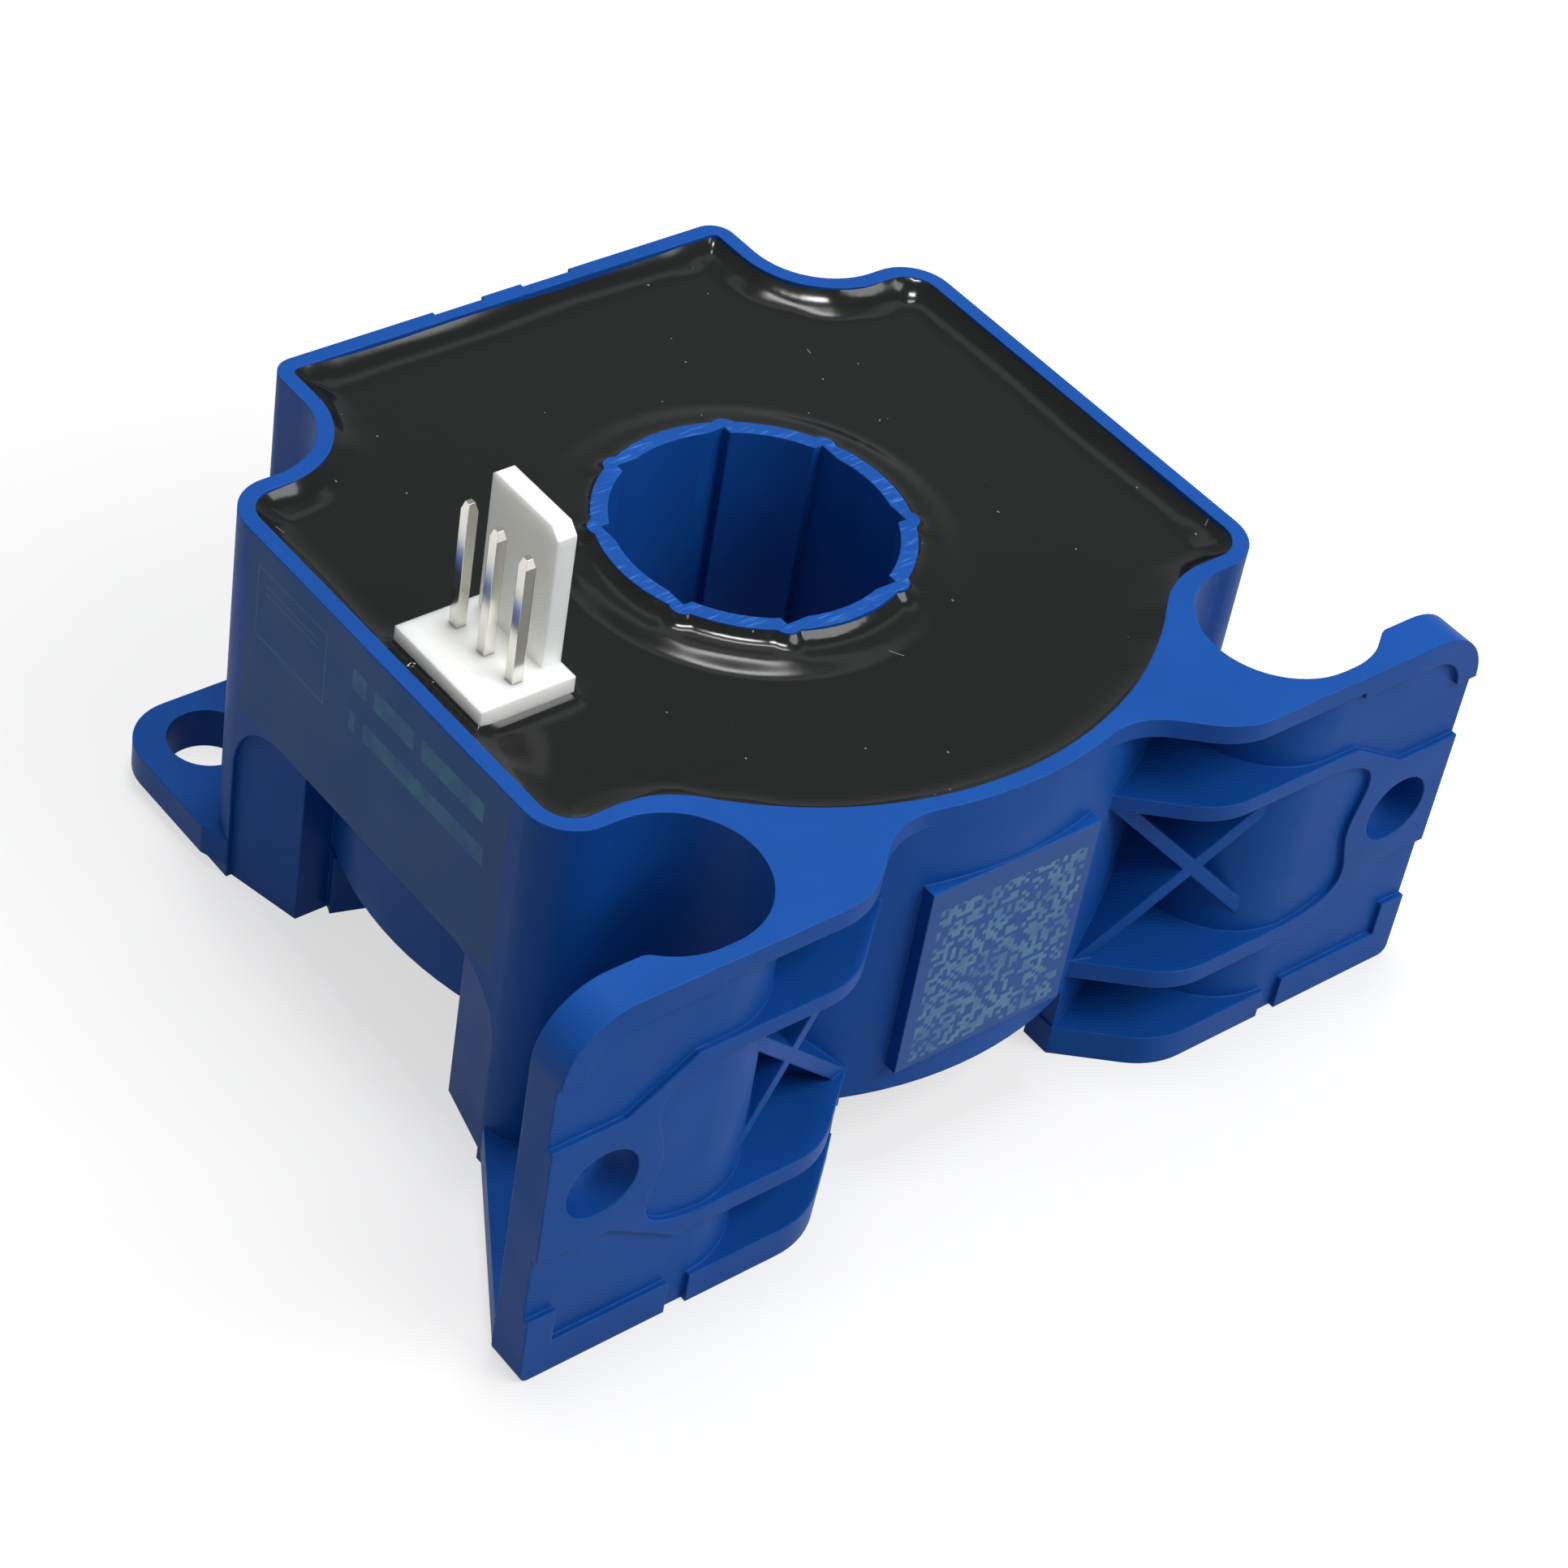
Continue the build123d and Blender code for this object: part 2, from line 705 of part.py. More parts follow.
def header_pin(y):
    """One square tinned pin with a tapered tip."""
    straight_top = pin_top_z - pin_taper_length
    low = board_bottom_z - pin_tail
    pin = Pos(header_x, y, 0) * raised(Rectangle(pin_size, pin_size), low, straight_top)
    base = Pos(header_x, y, straight_top) * Rectangle(pin_size, pin_size)
    tip = Pos(header_x, y, pin_top_z) * Rectangle(pin_tip_size, pin_tip_size)
    return pin + loft([base, tip])


def header_body():
    """Wafer base with an upright friction-lock wall along its inner long side."""
    x0 = header_x - header_base_width / 2
    x1 = header_x + header_base_width / 2
    y0 = header_y - header_base_length / 2
    y1 = header_y + header_base_length / 2
    body = block(x0, x1, y0, y1, board_top_z, header_base_top_z)
    front = header_y + lock_wall_offset - lock_wall_width / 2
    rear = front + lock_wall_width
    face = span(front, rear, board_top_z, lock_wall_top_z)
    face = cut_vertex(face, front, lock_wall_top_z, lock_wall_chamfer)
    face = cut_vertex(face, rear, lock_wall_top_z, lock_wall_rear_chamfer)
    body += along_x(face, x1 - lock_wall_thickness, x1)
    for y in pin_places():
        body -= Pos(header_x, y, 0) * raised(Rectangle(pin_size, pin_size), board_bottom_z, pin_top_z)
    return body


def cut_vertex(sketch, x, y, size):
    """Chamfers the corner of a flat outline that lies nearest to a point."""
    corner = min(sketch.vertices(), key=lambda v: hypot(v.X - x, v.Y - y))
    return chamfer(corner, size)


# Circuit board and what is soldered to its lower face

def board_plate():
    """The board without its drilled holes."""
    plan = body_plan(wall + board_edge_gap) - Circle(tube_reach + board_bore_gap)
    return raised(plan, board_bottom_z, board_top_z)


def circuit_board():
    """The board with its header holes."""
    board = board_plate()
    for y in pin_places():
        board -= Pos(header_x, y, board_bottom_z) * Cylinder(pin_drill / 2, 4 * board_thickness)
    return board


def control_chip():
    """Amplifier package with a row of legs on each long side."""
    low = -chip_standoff - chip_height
    body = block(-chip_length / 2, chip_length / 2, -chip_width / 2, chip_width / 2, low, -chip_standoff)
    first = -(chip_legs_per_side - 1) * chip_leg_pitch / 2
    for index in range(chip_legs_per_side):
        x = first + index * chip_leg_pitch
        for side in (-1, 1):
            y0, y1 = sorted((side * chip_width / 2, side * (chip_width / 2 + chip_leg_reach)))
            foot_y0, foot_y1 = sorted((side * (chip_width / 2 + chip_leg_reach - chip_leg_foot),
                                       side * (chip_width / 2 + chip_leg_reach)))
            x0 = x - chip_leg_width / 2
            x1 = x + chip_leg_width / 2
            knee = low + chip_height / 2
            body += block(x0, x1, y0, y1, knee, knee + chip_leg_thickness)
            body += block(x0, x1, foot_y0, foot_y1, knee, 0)
    return body


def output_transistor():
    """Flat three-lead power package with its tab on the far side."""
    body = block(-transistor_length / 2, transistor_length / 2, -transistor_width / 2,
                 transistor_width / 2, -transistor_height, 0)
    for index in (-1, 0, 1):
        x = index * transistor_lead_pitch
        body += block(x - transistor_lead_width / 2, x + transistor_lead_width / 2,
                      -transistor_width / 2 - transistor_lead_length, 0, -transistor_lead_thickness, 0)
    return body + block(-transistor_tab_width / 2, transistor_tab_width / 2, 0,
                        transistor_width / 2 + transistor_tab_reach, -transistor_lead_thickness, 0)


def chip(length, width, height):
    """A plain two-terminal surface part."""
    return Pos(0, 0, -height / 2) * Box(length, width, height)


def moulded_chip(length, width, height):
    """A moulded two-terminal part with a terminal strap at each end."""
    end = length / 2 - terminal_thickness
    body = block(-end, end, -width / 2, width / 2, -height, 0)
    for side in (-1, 1):
        x0, x1 = sorted((side * end, side * length / 2))
        body += block(x0, x1, -width / 4, width / 4, -height / 2, 0)
    return body


def under_board(shape, *angles):
    """Hangs copies of a part under the board, round the bore, each turned to its angle.

    The part is drawn with its solder side at z = 0, growing down.
    """
    group = Part()
    for angle in angles:
        x = ring_radius * cos(radians(angle))
        y = ring_radius * sin(radians(angle))
        group += Pos(x, y, board_bottom_z) * Rot(0, 0, angle) * shape
    return group


def board_parts():
    """Every part that hangs from the board, by node name."""
    resistor = chip(chip_resistor_length, chip_resistor_width, chip_resistor_height)
    small_capacitor = chip(chip_capacitor_length, chip_capacitor_width, chip_capacitor_height)
    capacitor = moulded_chip(capacitor_length, capacitor_width, capacitor_height)
    diode = moulded_chip(diode_length, diode_width, diode_height)
    upright_chip = Rot(0, 0, 90) * control_chip()
    return {
        "control_chip": under_board(upright_chip, control_chip_angle),
        "output_transistor_high": under_board(output_transistor(), transistor_high_angle),
        "output_transistor_low": under_board(output_transistor(), transistor_low_angle),
        "supply_capacitor_plus": under_board(capacitor, capacitor_plus_angle),
        "supply_capacitor_minus": under_board(capacitor, capacitor_minus_angle),
        "protection_diode_plus": under_board(diode, diode_plus_angle),
        "protection_diode_minus": under_board(diode, diode_minus_angle),
        "chip_resistors": under_board(resistor, *resistor_angles),
        "chip_capacitors": under_board(small_capacitor, *chip_capacitor_angles),
    }


def potting_compound(board_items):
    """The cast filling round the buried parts, up to the potting level."""
    fill = cavity(potting_z) - raised(tube_plan(), can_underside_z, rim_z)
    fill -= tube(cup_inner_radius, cup_outer_radius, cup_bottom_z, cup_top_z)
    fill -= raised(winding_sector(), winding_bottom_z, winding_top_z)
    fill -= board_plate()
    fill -= hall_element()
    for side in (-1, 1):
        fill -= winding_lead(side)
    for y in pin_places():
        fill -= header_pin(y)
    x0 = header_x - header_base_width / 2
    y0 = header_y - header_base_length / 2
    fill -= block(x0, x0 + header_base_width, y0, y0 + header_base_length, board_top_z, rim_z)
    for item in board_items.values():
        fill -= item
    return fill


def build():
    """Every piece of the sensor, by node name."""
    lower_cup, upper_cup = core_cups()
    items = board_parts()
    pieces = {
        "housing": housing(),
        "potting_compound": potting_compound(items),
        "header_body": header_body(),
        "circuit_board": circuit_board(),
        "magnetic_core": magnetic_core(),
        "core_cup_lower": lower_cup,
        "core_cup_upper": upper_cup,
        "secondary_winding": secondary_winding(),
        "winding_lead_start": winding_lead(-1),
        "winding_lead_finish": winding_lead(1),
        "hall_element": hall_element(),
    }
    for number, y in enumerate(pin_places(), 1):
        pieces[f"header_pin_{number}"] = header_pin(y)
    pieces.update(items)
    return pieces


os.makedirs("parts", exist_ok=True)
for name, piece in build().items():
    export_step(piece, f"parts/{name}.step")
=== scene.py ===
import json
import math
import random

import bmesh
import bpy
import numpy as np
from mathutils import Matrix, Vector
from mathutils.geometry import delaunay_2d_cdt


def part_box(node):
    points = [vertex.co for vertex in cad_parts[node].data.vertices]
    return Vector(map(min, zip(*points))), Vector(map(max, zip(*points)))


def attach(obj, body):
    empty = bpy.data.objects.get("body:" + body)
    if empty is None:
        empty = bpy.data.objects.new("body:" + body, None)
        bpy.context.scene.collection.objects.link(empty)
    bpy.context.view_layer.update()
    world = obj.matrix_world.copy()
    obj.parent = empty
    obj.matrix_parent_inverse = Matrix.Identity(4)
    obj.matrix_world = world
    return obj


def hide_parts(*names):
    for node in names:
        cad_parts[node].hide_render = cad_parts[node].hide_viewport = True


# The finish of a potted current sensor: blue moulded housing, glossy cast resin with its
# raised edges, white pin header and bright pins, on a pale floor under soft lamps.
# Lengths are in metres, in the part's own frame. Colours are linear red, green, blue and alpha.

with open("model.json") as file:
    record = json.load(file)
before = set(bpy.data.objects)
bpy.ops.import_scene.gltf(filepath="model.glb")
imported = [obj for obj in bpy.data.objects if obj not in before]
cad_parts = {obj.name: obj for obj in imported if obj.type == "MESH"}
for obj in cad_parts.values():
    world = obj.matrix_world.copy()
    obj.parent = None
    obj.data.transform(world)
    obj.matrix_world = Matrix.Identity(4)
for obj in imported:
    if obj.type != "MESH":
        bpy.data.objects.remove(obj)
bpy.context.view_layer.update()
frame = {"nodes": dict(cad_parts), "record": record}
nodes = frame["nodes"]

MM = 0.001

# Camera, as solved for the photograph's square frame
frame_pixels = 1932
focal_pixels = 4918.0
sensor_width = 36.0              # in millimetres, as the camera's own settings are
camera_nearest = 0.01            # it sees nothing nearer than this
camera_place = Vector((-117.17, -123.15, 156.42)) * MM
camera_right = Vector((0.7811137, -0.6089728, 0.1378897))
camera_down = Vector((-0.3284481, -0.5885617, -0.7387266))
camera_forward = Vector((0.5310210, 0.5317399, -0.6597495))

# Resin mesh
resin_step = 0.24 * MM           # point spacing near walls
resin_step_open = 0.75 * MM      # and away from them
resin_near = 3.8 * MM            # how far from a wall counts as near
bubble_step = 0.11 * MM          # point spacing among the bubbles
wall_clearance = 0.45 * resin_step
bubble_clearance = 0.3 * resin_step
least_spread = 1e-5 * MM**2      # a triangle thinner than this is only a line along a wall
weld_distance = 1e-7             # corners nearer than this become one
level_slack = 1e-6               # a point this near the highest one lies in the level top
join_slack = 1e-6                # in millimetres, as the points are while they are joined
points_at_once = 2000            # measured together, to keep the arrays small
smooth_least_rise = 0.25         # faces that look up at least this much are shaded smooth
smooth_depth = 0.01 * MM

# Resin surface
wall_rise = 0.74 * MM            # how far the resin climbs the housing's walls
wall_rise_length = 2.3 * MM
wall_rise_power = 2.6            # how hollow its climb is
wall_waves = [(0.16, 3.0, 0.7), (0.10, 11.0, 2.0)]       # share, waves round the axis, phase
lump_rise = 0.15 * MM            # uneven lumps beside the corner notches
lump_middle = 0.55
lump_swing = 0.45
lump_pitch = (0.83 * MM, 1.07 * MM)
lump_climb = (0.05, 0.55)        # they start and end their growth at these shares of the climb
notch_x = 20.5 * MM              # middle of each corner notch
notch_y = 20.3 * MM
notch_reach = (7.2 * MM, 10.5 * MM)
highest_rise = 0.92 * MM
tube_rise = 0.55 * MM
tube_rise_length = 0.42 * MM
tube_radius = 8.9 * MM
swell_rise = 0.32 * MM           # low round step in the resin, outside the tube
swell_ends = (1.3 * MM, 3.1 * MM)
swell_waves = [(0.22, 2.0, 1.1), (0.12, 5.0, 0.0)]       # as wall_waves
header_rise = 0.40 * MM
header_rise_length = 0.38 * MM
header_swell = 0.06 * MM
header_swell_ends = (0.3 * MM, 2.3 * MM)
header_reach = 3.0 * MM          # its outline has its middle this near the header's
housing_reach = 15.0 * MM        # only the housing's outline reaches this far
sag = 0.010 * MM                 # slow waves over the open surface
sag_pitch = (5.3 * MM, 6.1 * MM)
sag_phase = 1.0

# Bubbles, in a strip along the header's outer side
bubble_seed = 5
bubble_count = 16
bubble_radius = (0.07, 0.19)     # in millimetres
bubble_dome = 0.7                # height of a bubble, as a share of its radius
bubbles_near = 0.1 * MM          # the strip starts this far from the header
bubbles_far = 0.85 * MM          # and ends this far from it
bubbles_past_front = 0.4 * MM
bubbles_past_rear = 0.2 * MM

# Worn ring round the top of the tube
ring_radius = 9.6 * MM
ring_least_rise = 0.9            # only faces that look up at least this much
scratch_turn = 0.9               # in radians, about the axis
scratch_stretch = 0.12           # the pattern is this dense along the scratches

# Printed areas
panel_x = -24.0 * MM             # the flat side lies just outside this
panel_y = (-11.6 * MM, 12.1 * MM)
panel_z = (12.9 * MM, 24.9 * MM)
print_line = 0.10 * MM           # plain line work: an empty frame, a double line and rows of bars
print_frame_y = (4.6 * MM, 11.2 * MM)
print_frame_z = (18.9 * MM, 23.6 * MM)
print_bars = [
    ((5.4 * MM, 10.4 * MM), (22.1 * MM, 22.2 * MM)),
    ((5.4 * MM, 10.4 * MM), (22.6 * MM, 22.7 * MM)),
    ((0.9 * MM, 2.2 * MM), (21.9 * MM, 23.2 * MM)),
    ((-3.4 * MM, 0.2 * MM), (21.9 * MM, 23.2 * MM)),
    ((-9.6 * MM, -4.1 * MM), (21.9 * MM, 23.2 * MM)),
    ((1.7 * MM, 2.2 * MM), (19.2 * MM, 20.4 * MM)),
    ((-9.9 * MM, 0.9 * MM), (19.2 * MM, 20.4 * MM)),
]
pad_x = (-5.75 * MM, 5.75 * MM)
pad_y = -23.6 * MM               # the pad's face lies just outside this
pad_z = (6.9 * MM, 19.9 * MM)
cell_size = 0.29 * MM
cells_x = (-4.9 * MM, 5.2 * MM)
cells_z = (7.3 * MM, 18.4 * MM)
cell_share = 0.5                 # share of the cells that stay bare

# Strength of edge wear with its painted edge highlight, tints and dust
wear_and_highlight_strength = 0.7
tint_strength = 0.5
panel_roughening = 0.08
dust_strength = 0.5

# Rounded edges, as the shaders show them
bevel_samples = 6
housing_edge = 0.16 * MM
header_edge = 0.14 * MM
metal_edge = 0.05 * MM
streak_stretch = 0.08            # the streaks on metal are this dense along Z

# Blue colours
blue_deep = (0.0040, 0.061, 0.286, 1)
blue_light = (0.0056, 0.071, 0.330, 1)
# paler edge colour: partly real wear, partly a painted highlight where edges would catch the lamps
blue_worn_and_highlit = (0.022, 0.14, 0.52, 1)
blue_scratched = (0.06, 0.19, 0.60, 1)
panel_tint = (0.060, 0.120, 0.200, 1)
panel_ink = (0.10, 0.27, 0.38, 1)
pad_tint = (0.05, 0.11, 0.27, 1)
pad_ink = (0.12, 0.26, 0.38, 1)

# Resin, dust and header colours
resin_deep = (0.0045, 0.0050, 0.0048, 1)
resin_light = (0.0060, 0.0066, 0.0062, 1)
dust_grey = (0.35, 0.35, 0.33, 1)
nylon_deep = (0.88, 0.89, 0.85, 1)
nylon_light = (0.93, 0.93, 0.90, 1)
nylon_reach = (1.0, 0.9, 0.75)   # how far red, green and blue light spread inside it
nylon_depth = 1.1 * MM

# Studio
floor_half = 3.0
floor_white = 0.30
floor_lift = 0.64
room_light = (0.34, 0.35, 0.36, 1)
strip_height = 0.62
strips = [                       # name, place beyond the axis, long side, short side, radiance
    ("strip_near", 0.02, 0.16, 0.085, 38.0),
    ("strip_far", 0.22, 0.18, 0.06, 15.0),
    ("strip_back", 0.40, 0.62, 0.14, 0.55),
]
key_right = 0.43
key_front = 0.19
key_height = 0.49
key_aim = (0.0, 0.0, 0.012)
key_size = 0.40
key_radiance = 5.8


# Node building

def feed(tree, item, inputs):
    """Fills a node's inputs: a socket is linked, any other value is set."""
    for key, value in inputs.items():
        if isinstance(value, bpy.types.NodeSocket):
            tree.links.new(value, item.inputs[key])
        else:
            item.inputs[key].default_value = value


def add(tree, kind, inputs=None, **settings):
    """Adds one shader node with its settings and inputs."""
    item = tree.nodes.new("ShaderNode" + kind)
    for key, value in settings.items():
        setattr(item, key, value)
    feed(tree, item, inputs or {})
    return item


def calc(tree, operation, first, second=0.0):
    """A number worked out from one or two others."""
    return add(tree, "Math", {0: first, 1: second}, operation=operation).outputs[0]


def product(tree, *factors):
    """Numbers or masks multiplied together."""
    result = factors[0]
    for factor in factors[1:]:
        result = calc(tree, "MULTIPLY", result, factor)
    return result


def blend(tree, factor, first, second):
    """A colour between two colours."""
    item = add(tree, "Mix", {0: factor, 6: first, 7: second}, data_type="RGBA")
    return item.outputs[2]


def ramp(tree, value, low, high, low_out=0.0, high_out=1.0):
    """A number moved from one range to another, held at its ends."""
    inputs = {0: value, 1: low, 2: high, 3: low_out, 4: high_out}
    return add(tree, "MapRange", inputs).outputs[0]


def noise(tree, coords, scale, detail=2.0, roughness=0.5):
    """Soft noise between 0 and 1."""
    inputs = {"Vector": coords, "Scale": scale, "Detail": detail, "Roughness": roughness}
    return add(tree, "TexNoise", inputs).outputs["Fac"]


def bump(tree, height, distance, strength, normal=None):
    """A normal made uneven by a height, on top of another normal if one is given."""
    inputs = {"Height": height, "Distance": distance, "Strength": strength}
    if normal is not None:
        inputs["Normal"] = normal
    return add(tree, "Bump", inputs).outputs[0]


def rounded_normal(tree, radius):
    """The normal that the piece would have with its edges rounded."""
    return add(tree, "Bevel", {"Radius": radius}, samples=bevel_samples).outputs[0]


def inside(tree, value, limits):
    """1 where a number lies between two limits, 0 elsewhere."""
    above = calc(tree, "GREATER_THAN", value, limits[0])
    below = calc(tree, "LESS_THAN", value, limits[1])
    return product(tree, above, below)


def outline_bars(across, up, line):
    """Four thin bars round a rectangle, each as two pairs of limits."""
    low, high = up
    left, right = across
    return [
        (across, (low, low + line)),
        (across, (high - line, high)),
        ((left, left + line), up),
        ((right - line, right), up),
    ]


def new_material(name):
    """An empty node material with its surface shader, and the part's own coordinates."""
    material = bpy.data.materials.new(name)
    material.use_nodes = True
    tree = material.node_tree
    tree.nodes.clear()
    shader = add(tree, "BsdfPrincipled")
    output = add(tree, "OutputMaterial")
    tree.links.new(shader.outputs[0], output.inputs["Surface"])
    coords = add(tree, "TexCoord").outputs["Object"]
    return material, tree, shader, coords


def flecks(tree, coords, scale, share, length, width):
    """Sparse short strokes at random places and angles, as a mask."""
    cells = add(tree, "TexVoronoi", {"Vector": coords, "Scale": scale}, voronoi_dimensions="3D")
    centred = add(tree, "VectorMath", {0: coords, 1: cells.outputs["Position"]}, operation="SUBTRACT")
    picks = add(tree, "SeparateColor", {0: cells.outputs["Color"]})
    angle = product(tree, picks.outputs[0], math.tau)
    turned = add(tree, "VectorRotate", {"Vector": centred.outputs[0], "Angle": angle},
                 rotation_type="Z_AXIS")
    sides = add(tree, "SeparateXYZ", {0: turned.outputs[0]})
    reach = product(tree, picks.outputs[2], length)
    along = calc(tree, "LESS_THAN", calc(tree, "ABSOLUTE", sides.outputs[0]), reach)
    across = calc(tree, "LESS_THAN", calc(tree, "ABSOLUTE", sides.outputs[1]), width)
    chosen = calc(tree, "LESS_THAN", picks.outputs[1], share)
    return product(tree, along, across, chosen)


def edge_mask(tree, rounded, low, high):
    """1 on sharp outer and inner edges, where the rounded normal leaves the true one, 0 elsewhere."""
    true_normal = add(tree, "NewGeometry").outputs["Normal"]
    agree = add(tree, "VectorMath", {0: rounded, 1: true_normal}, operation="DOT_PRODUCT").outputs["Value"]
    return ramp(tree, calc(tree, "SUBTRACT", 1.0, agree), low, high)


# Blue housing

def worn_ring(tree, coords, place):
    """Fine scratches on the upward faces round the top of the tube, as a mask."""
    flat = add(tree, "CombineXYZ", {0: place[0], 1: place[1]}).outputs[0]
    from_axis = add(tree, "VectorMath", {0: flat}, operation="LENGTH").outputs["Value"]
    facing = add(tree, "SeparateXYZ", {0: add(tree, "NewGeometry").outputs["True Normal"]}).outputs
    near = calc(tree, "LESS_THAN", from_axis, ring_radius)
    upward = calc(tree, "GREATER_THAN", facing[2], ring_least_rise)
    slanted = add(tree, "Mapping", {
        "Vector": coords,
        "Rotation": (0.0, 0.0, scratch_turn),
        "Scale": (scratch_stretch, 1.0, 1.0),
    }).outputs[0]
    grain = noise(tree, slanted, scale=4200.0, detail=3.0, roughness=0.6)
    scratches = ramp(tree, grain, low=0.54, high=0.72, high_out=0.8)
    return product(tree, near, upward, scratches)


def panel_masks(tree, coords, place):
    """The flat printed panel on the header's side, and its plain line work."""
    x, y, z = place
    panel = product(tree, inside(tree, y, panel_y), inside(tree, z, panel_z))
    panel = product(tree, panel, calc(tree, "LESS_THAN", x, panel_x))
    lines = 0.0
    for bar_y, bar_z in print_bars + outline_bars(print_frame_y, print_frame_z, print_line):
        bar = product(tree, inside(tree, y, bar_y), inside(tree, z, bar_z))
        lines = calc(tree, "MAXIMUM", lines, bar)
    faded = ramp(tree, noise(tree, coords, scale=700.0, detail=4.0), low=0.35, high=0.65,
                 low_out=0.20, high_out=0.55)
    return panel, product(tree, lines, panel, faded)


def pad_masks(tree, coords, place):
    """The printed pad on the round front, and its generic random cells."""
    x, y, z = place
    pad = product(tree, inside(tree, x, pad_x), inside(tree, z, pad_z))
    pad = product(tree, pad, calc(tree, "LESS_THAN", y, pad_y))
    snapped = add(tree, "CombineXYZ", {
        0: calc(tree, "FLOOR", calc(tree, "DIVIDE", x, cell_size)),
        2: calc(tree, "FLOOR", calc(tree, "DIVIDE", z, cell_size)),
    }).outputs[0]
    picked = add(tree, "TexWhiteNoise", {"Vector": snapped}).outputs["Value"]
    cells = product(tree, inside(tree, x, cells_x), inside(tree, z, cells_z))
    cells = product(tree, cells, pad, calc(tree, "GREATER_THAN", picked, cell_share))
    worn = ramp(tree, noise(tree, coords, scale=500.0, detail=3.0), low=0.35, high=0.6,
                low_out=0.35, high_out=0.8)
    return pad, product(tree, cells, worn)


def blue_plastic():
    """Satin blue moulding with softened edges, paler from wear and from a painted edge highlight, and its
    two printed areas.
    """
    material, tree, shader, coords = new_material("blue_plastic")
    place = add(tree, "SeparateXYZ", {0: coords}).outputs
    rounded = rounded_normal(tree, housing_edge)
    edges = edge_mask(tree, rounded, low=0.03, high=0.22)
    patches = noise(tree, coords, scale=900.0, detail=4.0)
    # Paler edges: real wear in patches, and a painted highlight standing in for edges catching the light
    wear_and_highlight = product(tree, edges, ramp(tree, patches, low=0.3, high=0.62))
    panel, panel_lines = panel_masks(tree, coords, place)
    pad, pad_cells = pad_masks(tree, coords, place)

    mottle = ramp(tree, noise(tree, coords, scale=140.0, detail=3.0), low=0.3, high=0.7)
    colour = blend(tree, mottle, blue_deep, blue_light)
    # edges lightened by wear and by the painted edge highlight
    colour = blend(tree, product(tree, wear_and_highlight, wear_and_highlight_strength), colour, blue_worn_and_highlit)
    colour = blend(tree, worn_ring(tree, coords, place), colour, blue_scratched)
    colour = blend(tree, product(tree, panel, tint_strength), colour, panel_tint)
    colour = blend(tree, panel_lines, colour, panel_ink)
    colour = blend(tree, product(tree, pad, tint_strength), colour, pad_tint)
    colour = blend(tree, pad_cells, colour, pad_ink)

    haze = noise(tree, coords, scale=260.0, detail=4.0)
    rough = ramp(tree, haze, low=0.3, high=0.7, low_out=0.46, high_out=0.54)
    rough = calc(tree, "ADD", rough, product(tree, panel, panel_roughening))
    grain = noise(tree, coords, scale=5200.0)
    feed(tree, shader, {
        "Base Color": colour,
        "Roughness": rough,
        "Normal": bump(tree, grain, distance=0.004 * MM, strength=0.6, normal=rounded),
        "Specular IOR Level": 0.13,
    })
    return material


# Other materials

def black_potting():
    """Glossy cast resin with a few dust fibres."""
    material, tree, shader, coords = new_material("black_potting")
    fibres = flecks(tree, coords, scale=170.0, share=0.09, length=0.7 * MM, width=0.024 * MM)
    specks = flecks(tree, coords, scale=420.0, share=0.11, length=0.08 * MM, width=0.045 * MM)
    dust = calc(tree, "MAXIMUM", fibres, specks)
    haze = noise(tree, coords, scale=90.0, detail=3.0)
    colour = blend(tree, haze, resin_deep, resin_light)
    colour = blend(tree, product(tree, dust, dust_strength), colour, dust_grey)
    gloss = noise(tree, coords, scale=700.0, detail=3.0)
    rough = ramp(tree, gloss, low=0.3, high=0.7, low_out=0.135, high_out=0.155)
    rough = calc(tree, "ADD", rough, product(tree, dust, dust_strength))
    ripple = noise(tree, coords, scale=2600.0)
    feed(tree, shader, {
        "Base Color": colour,
        "Roughness": rough,
        "Normal": bump(tree, ripple, distance=0.0016 * MM, strength=0.5),
        "IOR": 1.43,
    })
    return material


def white_nylon():
    """Slightly translucent white moulding."""
    material, tree, shader, coords = new_material("white_nylon")
    cloud = noise(tree, coords, scale=300.0, detail=3.0)
    grain = noise(tree, coords, scale=4200.0)
    rounded = rounded_normal(tree, header_edge)
    feed(tree, shader, {
        "Base Color": blend(tree, cloud, nylon_deep, nylon_light),
        "Roughness": 0.42,
        "Normal": bump(tree, grain, distance=0.004 * MM, strength=0.5, normal=rounded),
        "Subsurface Weight": 0.8,
        "Subsurface Radius": nylon_reach,
        "Subsurface Scale": nylon_depth,
    })
    return material


def metal(name, dark, light, roughness, streak_scale):
    """Bare or plated metal with fine streaks along its length."""
    material, tree, shader, coords = new_material(name)
    stretched = add(tree, "Mapping", {"Vector": coords, "Scale": (1.0, 1.0, streak_stretch)}).outputs[0]
    streaks = noise(tree, stretched, scale=streak_scale, detail=4.0)
    rounded = rounded_normal(tree, metal_edge)
    rough = ramp(tree, streaks, low=0.3, high=0.7, low_out=roughness * 0.8, high_out=roughness * 1.3)
    feed(tree, shader, {
        "Base Color": blend(tree, streaks, dark, light),
        "Roughness": rough,
        "Normal": bump(tree, streaks, distance=0.003 * MM, strength=0.4, normal=rounded),
        "Metallic": 1.0,
    })
    return material


def moulded(name, dark, light, roughness, grain_scale):
    """A moulded, cast or laminated surface with fine grain, for the pieces inside."""
    material, tree, shader, coords = new_material(name)
    grain = noise(tree, coords, scale=grain_scale, detail=4.0)
    rough = ramp(tree, grain, low=0.3, high=0.7, low_out=roughness * 0.9, high_out=roughness * 1.1)
    feed(tree, shader, {
        "Base Color": blend(tree, grain, dark, light),
        "Roughness": rough,
        "Normal": bump(tree, grain, distance=0.006 * MM, strength=0.5),
    })
    return material


